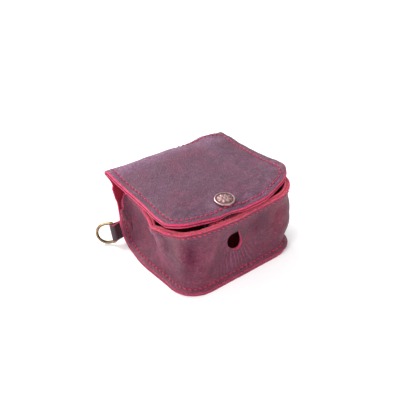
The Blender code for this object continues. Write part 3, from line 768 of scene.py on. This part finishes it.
def catmull(points, count_per):
    """Smooth curve through points with a given number of steps in each span."""
    p = np.vstack([2 * points[0] - points[1], points, 2 * points[-1] - points[-2]])
    out = []
    for k, steps in enumerate(count_per):
        p0, p1, p2, p3 = p[k:k + 4]
        for t in np.linspace(0, 1, steps + 1)[:-1]:
            out.append(0.5 * ((2 * p1) + (-p0 + p2) * t + (2 * p0 - 5 * p1 + 4 * p2 - p3) * t * t
                              + (-p0 + 3 * p1 - 3 * p2 + p3) * t ** 3))
    out.append(points[-1])
    return np.array(out)


SPANS = (3, 3, 3, 3, 4, 6, 6, 7, 5, 3, 7)


def wall_grid():
    grid = []
    for i, (base, outward, inward, rim) in enumerate(stations):
        s, f = sag[i], flare[i]
        end = float(smooth(11.0, END_Z, base[2]))
        knee = 6.0 - 3.1 * end
        k = min(1.0, np.linalg.norm(rim - base - inward * knee) / 26.0) * (1 - end)
        s, f, out = s * k, f * k, 3.3 * end
        profile = catmull(np.array([
            (4.5, SEAT_MID - 0.1), (3.3, SEAT_MID), (2.2, SEAT_MID + 0.05), (1.15, SEAT_MID + 0.65),
            (0.35, SEAT_MID + 2.1), (-0.4 * s, 8.0), (-0.85 * s, 14.0), (-s, 20.0),
            (-0.75 * s + 0.05 * f, 27.5), (-0.25 * s + 0.35 * f, 34.0), (0.75 * f, 38.2), (f, RIM)]), SPANS)
        start = base + inward * knee
        top = rim.copy()
        top[2] -= (RIM - rim_z[i]) * (1 - end)
        row = []
        for n, h in profile:
            n = n + out * (1 - max(n, 0.0) / 4.5) * (1 - 0.35 * smooth(20, RIM, h))
            if h <= knee:
                row.append(base + inward * h + outward * n)
            else:
                row.append(start + (top - start) * ((h - knee) / (RIM - knee)) + outward * n)
        grid.append(row)
    return np.array(grid)


wall = wall_grid()
middle = len(left_half) - 1
MID_FRONT, FORWARD = (middle, 35), (0.0, -1.0, 0.0)

# Folds from wear: a ridge at the front left corner and a slanting bulge beside it
hole_x, hole_z = HOLE_AT
height = wall[:, :, 2]
h_rel = height / RIM
along = np.repeat(run[:, None], wall.shape[1], 1)
free = smooth(0.12, 0.3, h_rel) * (1 - smooth(0.80, 0.97, h_rel))
slanting = along + 12.0 * (0.58 - h_rel)  # distance along the wall, following the bulge's slant
at_ridge = along + 58.0 + 3.0 * (0.6 - h_rel)
hollow = gauss(along + 34.0, 5.0) * gauss(h_rel - 0.62, 0.30)
folds = (2.8 * gauss(at_ridge + 0.5, 3.8) * smooth(0.2, 0.62, h_rel)
         + 2.6 * gauss(slanting + 22.5, 4.6) * gauss(h_rel - 0.60, 0.26)
         - 1.9 * hollow - 1.3 * gauss(along + 10.0, 6.0) * gauss(h_rel - 0.40, 0.25)
         - 1.6 * gauss(along + 72.0, 8.0) * gauss(h_rel - 0.5, 0.28))
# Phase and mask of the crease fan under the opening: its bump, painted shade, painted highlight and painted
# sheen.
fan_phase = 78.0 * np.arctan2(along - hole_x, hole_z + 14 - height) + 1.6 * np.sin(along * 0.45)
fan_here = (smooth(hole_z - 3, hole_z - 9, height) * gauss(height - 11.5, 7.5)
            * gauss(along - hole_x - 3, 15.0))
slow = fbm(wall, 15.0, 8.1)
fine = fbm(wall, 4.2, 2.3)
push = (folds * np.clip(free + 0.1, 0, 1) + (0.60 * slow + 0.15 * fine) * free
        + 0.25 * gauss(np.hypot(along - hole_x, height - hole_z) - 7.0, 1.6))
SEAM_COL, RIM_COL = 7, wall.shape[1] - 5
wall = wall + grid_normals(wall, MID_FRONT, FORWARD) * push[:, :, None]
wn = grid_normals(wall, MID_FRONT, FORWARD)
col = np.arange(wall.shape[1])
groove = 0.22 * gauss(col - SEAM_COL, 0.9) + 0.22 * gauss(col - RIM_COL, 0.9)
pared = 0.75 * smooth(4.5, 0.0, col)
wall_out = wall + wn * (T_OUT / 2 - groove - pared)[None, :, None]
wall_in = wall - wn * (T_OUT / 2)
wall_worn = (0.85 * gauss(slanting + 21.0, 3.6) * gauss(h_rel - 0.58, 0.22)
             + 0.45 * smooth(0.1, 0.7, slow) + 0.95 * gauss(along - 31.0, 8.5) * smooth(0.15, 0.6, h_rel)
             + 0.4 * gauss(along + 43.0, 5.0) * smooth(0.3, 0.8, h_rel))
# Painted highlights: pale on the front-left ridge, a fold by the front, the slanting bulge, in broad hollows,
# low on the left wall and over the crease fan.
wall_bloom = (0.95 * gauss(at_ridge, 2.8) * smooth(0.2, 0.5, h_rel) * (1 - smooth(0.8, 0.95, h_rel))
              + 0.25 * gauss(along + 12.0 - 14.0 * (h_rel - 0.6), 5.0) * gauss(h_rel - 0.62, 0.25)
              + 0.50 * gauss(slanting + 21.5, 3.4) * gauss(h_rel - 0.58, 0.22)
              + 0.30 * smooth(0.15, 0.8, -slow) + 0.35 * gauss(h_rel - 0.28, 0.12) * gauss(along + 57.0, 12.0)
              + 0.30 * fan_here)
# Painted shade: darker in the hollow, right of the ridge, at the right-hand end where the wall turns from the
# light, high up right of the middle, in small dents, and a little all over.
wall_painted_shade = (0.75 * hollow + 0.5 * gauss(along + 51.0, 3.5) * smooth(0.3, 0.6, h_rel)
             + 0.95 * gauss(along - 40.0, 9.0) * smooth(0.1, 0.5, h_rel)
             + 0.55 * gauss(along - 13.0, 7.0) * gauss(h_rel - 0.72, 0.2)
             + 0.25 * np.clip(-fine, 0, 1) * free + 0.10)
# Cut edges near the base and at the strip's ends take the darker edge: partly burnished, partly painted
# shade.
rim_or_base = np.where(col < 12, 3, 1) + np.zeros(wall.shape[:2], int)
rim_or_base[[0, -1]] = 3
leather_wall = slab("wall_leather", wall_out, wall_in, [GRAIN_WALL, EDGE_RIM, FLESH, EDGE_BASE],
                    edge_kind=rim_or_base, meets="back", worn=np.clip(wall_worn, 0, 1),
                    bloom=np.clip(wall_bloom, 0, 1), deep=np.clip(wall_painted_shade, 0, 1), phase=fan_phase,
                    crease=fan_here)

# The opening in the front wall
turn = math.radians(-13.0)
tangent = math.acos(HOLE_R / HOLE_POINT)
drop = [(HOLE_R * math.cos(a), HOLE_R * math.sin(a))
        for a in np.linspace(math.pi / 2 + tangent, 2.5 * math.pi - tangent, 44)]
drop += [(x, HOLE_POINT - d) for x, d in ((0.35, 0.4), (0.0, 0.25), (-0.35, 0.4))]
turned = np.array([[math.cos(turn), math.sin(turn)], [-math.sin(turn), math.cos(turn)]])
stretched = np.array([[0.84, -0.36], [0.0, 1.14]])
drop = np.array(drop) @ turned @ stretched + (hole_x + 1.0, hole_z - 0.9)
count = len(drop)
cut_v = [(x, FRONT - 3, z) for x, z in drop] + [(x, FRONT + 14, z) for x, z in drop]
cut_f = [tuple(range(count)), tuple(reversed(range(count, 2 * count)))]
cut_f += [(i, count + i, count + (i + 1) % count, (i + 1) % count) for i in range(count)]
cutter = make("opening_cutter", cut_v, cut_f, [EDGE_RIM])
cut = leather_wall.modifiers.new("opening", "BOOLEAN")
cut.operation, cut.solver, cut.object = "DIFFERENCE", "EXACT", cutter
cut.material_mode = "TRANSFER"
bpy.context.view_layer.objects.active = leather_wall
bpy.ops.object.modifier_apply(modifier="opening")
bpy.data.objects.remove(cutter, do_unlink=True)

# The facing inside the rim follows the wall
FACING_BACK, FACING_COLS = 14.0, slice(-15, None)  # its back end, and its columns of the wall's grid
first_row = int(np.argmax(wall[:, -1, 1] < FACING_BACK))
band = slice(first_row, wall.shape[0] - first_row)
inward = -wn[band, FACING_COLS]
face_out = wall[band, FACING_COLS] + inward * (T_OUT / 2 + 0.18)
face_in = face_out + inward * T_LIN
for sheet in (face_out, face_in):
    for k, depth in enumerate((0.42, 0.58, 0.72, 0.84, 0.93)):
        for row in (k, -1 - k):
            sheet[row] = sheet[row, -1] + (sheet[row] - sheet[row, -1]) * depth
facing = slab("rim_facing_leather", face_in, face_out, [LINING, EDGE_RIM, FLESH], meets="back")


# Tongue that carries the stud

shelf_top = STUD_LO[2] - 0.3
leg_y = FLAP_LO[1] + 0.65
cx = (FLAP_LO[0] + FLAP_HI[0]) / 2
half_flap = (FLAP_HI[0] - FLAP_LO[0]) / 2
tip = FLAP_HI[1]
FLAP_R = 2.4  # outer bend between the leg and the shelf
profile = [(leg_y, z) for z in np.linspace(FLAP_HI[2], shelf_top - T_OUT + FLAP_R, 9)]
profile += [(leg_y + FLAP_R - FLAP_R * math.cos(a), shelf_top - T_OUT + FLAP_R - FLAP_R * math.sin(a))
            for a in np.linspace(0, math.pi / 2, 9)[1:]]
profile += [(y, shelf_top - T_OUT) for y in spaced(leg_y + FLAP_R, tip, 0.5, 1.1, 1.0, 5.5)[1:]]
flap_rows = []
for y, z in profile:
    half = corner_width(tip - y, half_flap, 5.0) if z < shelf_top else half_flap
    xs = np.linspace(cx - half, cx + half, 34)
    flap_rows.append(np.stack([xs, np.full(34, y), np.full(34, z)], 1))
flap_low = np.array(flap_rows)
lean = smooth(6.2, 9.0, np.abs(flap_low[:, :, 0] - SNAP[0])) * (flap_low[:, :, 1] < leg_y + 0.01)
up_leg = np.clip((flap_low[:, :, 2] - 38.3) / 1.3, 0, 1)
flap_low[:, :, 1] += 1.0 * lean * up_leg ** 1.6
flap_low[:, :, 2] += 0.5 * lean * up_leg
fn = grid_normals(flap_low, (-6, 15), UP)
flap_top = flap_low + fn * T_OUT
tongue = slab("tongue_leather", flap_top, flap_low, [GRAIN_TONGUE_IN_SHADE, EDGE_TONGUE_IN_SHADE, FLESH])


# Ring tab: a strip folded round the ring's bar

out_dir = np.array([0, BAR_DIR[2], -BAR_DIR[1]])
if out_dir[1] < 0:
    out_dir = -out_dir
T_TAB = 1.1
LOOP_MID = 0.9 + 0.15 + T_TAB / 2  # from the bar's axis to the middle of the loop's thickness
PINCH = 4.2  # the two legs meet here


def tab_grid(side_sign):
    """The folded strip's outer face (1) or inner face (-1): along one leg, round the bar and back."""
    r = LOOP_MID + side_sign * T_TAB / 2
    legs = 0.12 + T_TAB / 2 + side_sign * T_TAB / 2
    opening = math.radians(48)
    arc = [(r * math.cos(a), r * math.sin(a)) for a in np.linspace(opening, 2 * math.pi - opening, 30)]
    leg = [(x, legs) for x in np.linspace(TAB_HI[0] - BAR[0], PINCH, 8)]
    for t in np.linspace(0, 1, 6)[1:-1]:
        leg.append((PINCH + (arc[0][0] - PINCH) * t, legs + (arc[0][1] - legs) * smooth(0, 1, t)))
    curve = leg + arc + [(x, -o) for x, o in reversed(leg)]
    width = [*np.linspace(-4.9, -4.0, 4), *np.linspace(-4.0, 4.0, 9)[1:-1], *np.linspace(4.0, 4.9, 4)]
    return np.array([[BAR + (x, 0, 0) + out_dir * o + BAR_DIR * w for w in width] for x, o in curve])


tab = slab("ring_tab_leather", tab_grid(1), tab_grid(-1), [GRAIN_DARK, EDGE_BASE, FLESH], round_mm=0.2)


# D-ring

swing = math.radians(40.0)  # the ring's angle at rest
away_dir = np.array([-math.cos(swing), 0, 0]) + out_dir * math.sin(swing)
HALF, ARM, BEND, WIRE = 6.1, 4.5, 1.3, 0.92  # half width, straight arm, corner radius, wire radius
half_ring = [(x, 0.0) for x in np.linspace(0.06, HALF - BEND, 8)]
half_ring += [(HALF - BEND + BEND * math.sin(a), BEND - BEND * math.cos(a))
              for a in np.linspace(0, math.pi / 2, 7)[1:]]
half_ring += [(HALF, y) for y in np.linspace(BEND, ARM, 5)[1:-1]]
half_ring += [(HALF * math.cos(a), ARM + HALF * math.sin(a)) for a in np.linspace(0, math.pi / 2, 17)]


def ring_mesh():
    """Bent wire whose ends butt together in the middle of the bar."""
    order = half_ring + [(-x, y) for x, y in reversed(half_ring[:-1])]
    pts = np.array([BAR + BAR_DIR * a + away_dir * b for a, b in order])
    sides, flat = 20, np.cross(BAR_DIR, away_dir)
    verts, wear = [], []
    for point, forward in zip(pts, unit(np.gradient(pts, axis=0))):
        across_wire = np.cross(forward, flat)
        for a in np.arange(sides) * (2 * math.pi / sides):
            verts.append(point + (across_wire * math.cos(a) + flat * math.sin(a)) * WIRE)
            wear.append(0.42 + 0.32 * math.cos(a) + 0.22 * abs(math.sin(a)))
    return make("brass_d_ring", verts, tube_faces(0, len(pts), sides), [BRASS], worn=wear)


ring = ring_mesh()


# Snap cap

def cap_mesh():
    """Domed cap with a rolled rim and a plain pressed rosette, and its post through the lid."""
    seg = 96
    r_cap = (CAP_HI[0] - CAP_LO[0]) / 2
    z_low = CAP_HI[2] - 1.85
    z_post = z_low - 0.12
    r_face = r_cap - 1.4
    prof = [(1.7, CAP_LO[2]), (1.8, CAP_LO[2] + 0.3), (1.8, z_post), (5.6, z_post), (6.0, z_low)]
    prof += [(r_cap - inside, z_low + up) for inside, up in (
        (0.0, 0.35), (-0.02, 0.65), (0.12, 0.95), (0.42, 1.15), (0.8, 1.18), (1.05, 1.08), (1.25, 1.02))]
    prof += [(r, z_low + 1.04 + 0.42 * (1 - (r / r_face) ** 2)) for r in np.linspace(r_cap - 1.45, 0.25, 17)]
    verts, wear = [], []
    for r, z in prof:
        rim_w = float(gauss(r - (r_cap - 0.55), 0.45)) if z > z_low + 0.6 else 0.0
        for a in np.arange(seg) * (2 * math.pi / seg):
            lift = 0.0
            if z > z_low + 1.0 and r < r_face:
                petal = math.cos(4 * a) ** 2
                reach = 2.2 + 1.7 * petal
                lift = (0.16 * float(smooth(reach + 0.35, reach - 0.25, r)) * (0.55 + 0.45 * petal)
                        - 0.14 * float(gauss(r - 1.1, 0.28)))
            verts.append((SNAP[0] + r * math.cos(a), SNAP[1] + r * math.sin(a), z + lift))
            wear.append(min(1.0, 0.45 + 0.4 * rim_w + 2.2 * max(lift, 0) - 1.6 * max(-lift, 0)
                            - 0.35 * float(gauss(r - (r_cap - 1.25), 0.25))))
    return make("copper_snap_cap", verts, tube_faces(0, len(prof), seg), [COPPER], worn=wear)


cap = cap_mesh()
for node in ("snap_socket", "snap_stud", "snap_post", "snap_spring"):
    for place in frame["nodes"][node].material_slots:
        place.material = NICKEL


# Stitching

UNDER_R = 0.36  # the thread is pulled flatter on the side that doesn't show
low_path = lid_path.copy()
low_path[:, 1] = np.minimum(low_path[:, 1], SEAM_BACK - 3.4)
under_xyz, under_nrm = on_sheet(low_path, outer, through)
under_xyz = under_xyz - under_nrm * (T_OUT + T_LIN + 0.34)
lid_stitch = join("lid_stitches", [
    stitches("lid_s1", seam_xyz, seam_nrm, closed=True),
    stitches("lid_s2", under_xyz, -under_nrm, radius=UNDER_R, closed=True, sink=1.25)])


def back_seam(sign):
    """Points and normals of one side's base seam, on the outer face of the back and the roll."""
    found = []
    for row, (_, z) in enumerate(side, n_fold):
        if 0.3 < z < END_Z - 1.0:
            edge_x = outer[row, 0 if sign < 0 else -1, 0]
            c = int(np.argmin(np.abs(outer[row, :, 0] - (edge_x - sign * 2.7))))
            found.append((outer[row, c], normals[row, c]))
    return found


span = slice(2, -2)
seam_p, seam_n = wall_out[span, SEAM_COL], wn[span, SEAM_COL]
below_base = [(np.array([q[0], q[1], 0.45]), np.array([0.0, 0.0, -1.0]))
              for q, base in zip(seam_p, bases[span]) if base[2] < 0.3]
under = back_seam(-1) + below_base + back_seam(1)[::-1]
# The tab's row: distance out from the bar, place across the tab
tab_path = ((6.0, -3.5), (7.6, -3.5), (9.1, -3.3), (9.1, 0.0), (9.1, 3.3), (7.6, 3.5), (6.0, 3.5))
tab_p = [BAR + (x, 0, 0) + out_dir * 1.24 + BAR_DIR * w for x, w in tab_path]
seam_stitch = join("seam_stitches", [
    stitches("seam_s1", seam_p, seam_n),
    stitches("seam_s2", [q[0] for q in under], [q[1] for q in under], radius=UNDER_R, sink=0.8),
    stitches("tab_s1", tab_p, [out_dir] * len(tab_p), pitch=2.7, radius=UNDER_R)])
rim_in_n = wn[band, RIM_COL]
rim_stitch = join("rim_stitches", [
    stitches("rim_s1", wall_out[10:-10, RIM_COL], wn[10:-10, RIM_COL]),
    stitches("rim_s2", wall_in[band, RIM_COL] - rim_in_n * (T_LIN + 0.20), -rim_in_n, radius=UNDER_R,
             sink=0.8)])

flap_path = rounded_path(cx - half_flap + 2.6, cx + half_flap - 2.6, leg_y + 2.7, tip - 2.4,
                         2.0, 2.0, 3.4, open_front=True)
flap_p = np.column_stack([flap_path, np.full(len(flap_path), shelf_top)])
up = np.tile(UP, (len(flap_p), 1))
flap_stitch = join("tongue_stitches", [
    stitches("flap_s3", flap_low[2, 1:11], -fn[2, 1:11]),
    stitches("flap_s4", flap_low[2, -6:-1], -fn[2, -6:-1]),
    stitches("flap_s1", flap_p, up),
    stitches("flap_s2", flap_p - up * T_OUT, -up)])


# Bodies

# The leather passes from case to lid
for piece in (leather_outer, leather_lining, lid_stitch):
    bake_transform(piece)
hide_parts("base_back_panel", "lid_outer")
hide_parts("lid_lining")
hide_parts("lid_thread")
for piece, body, node, slot in (
        (leather_wall, "case", "wall_strip", "leather_outer_wall"),
        (facing, "case", "rim_facing", "leather_facing"),
        (tongue, "case", "stud_flap", "leather_tongue"),
        (tab, "case", "ring_tab", "leather_tab"),
        (ring, "ring", "d_ring", "brass_ring"),
        (cap, "lid", "snap_cap", "snap_copper"),
        (seam_stitch, "case", "seam_thread", "seam_thread"),
        (rim_stitch, "case", "rim_thread", "rim_thread"),
        (flap_stitch, "case", "flap_thread", "flap_thread")):
    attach(piece, body)
    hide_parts(node)


# Floor, light and camera

floor_mat = Nodes("studio_floor")
floor_mat.finish(Base_Color=(0.96, 0.96, 0.965, 1), Specular_IOR_Level=0.2,
                 Roughness=floor_mat.grey(floor_mat.noise(0.02, 2.0), 0.3, 0.7, 0.85, 0.95))
floor_p = [(3000 * x, 3000 * y, -0.05) for x, y in ((-1, -1), (1, -1), (1, 1), (-1, 1))]
floor = make("floor", floor_p, [(0, 1, 2, 3)], [floor_mat.mat])


def put_in_scene(name, data, place, facing):
    """Adds a lamp or the camera at a place, looking along a direction."""
    obj = bpy.data.objects.new(name, data)
    obj.location = place
    obj.rotation_mode = "QUATERNION"
    obj.rotation_quaternion = facing.to_track_quat("-Z", "Y")
    bpy.context.scene.collection.objects.link(obj)
    return obj


def area_light(name, place, aim, size, power):
    data = bpy.data.lights.new(name, "AREA")
    data.shape, data.size, data.energy = "DISK", size, power
    put_in_scene(name, data, place, Vector(aim) - Vector(place))


area_light("key", (-0.15, 0.75, 0.62), (0, 0, 0.03), 0.55, 12.0)
area_light("left", (-0.70, -0.12, 0.52), (0, 0, 0.03), 0.45, 4.6)
area_light("front", (0.10, -0.90, 0.75), (0, 0, 0.02), 0.60, 5.2)
world = bpy.data.worlds.new("studio")
world.use_nodes = True
background = world.node_tree.nodes["Background"].inputs
background["Color"].default_value = (1, 1, 1, 1)
background["Strength"].default_value = 0.60
bpy.context.scene.world = world
bpy.context.scene.view_settings.view_transform = "Standard"

camera = bpy.data.cameras.new("camera")
camera.lens, camera.sensor_width = 72.0, 36.0
camera.clip_start, camera.clip_end = 0.01, 20.0
# Fitted to the photo by the case's corners
az, el, dist = math.radians(-38.0), math.radians(36.4), 0.4836
back_dir = Vector((math.sin(az) * math.cos(el), -math.cos(az) * math.cos(el), math.sin(el)))
place = Vector((0.0073, 0.0151, 0.020)) + back_dir * dist
bpy.context.scene.camera = put_in_scene("camera", camera, place, -back_dir)
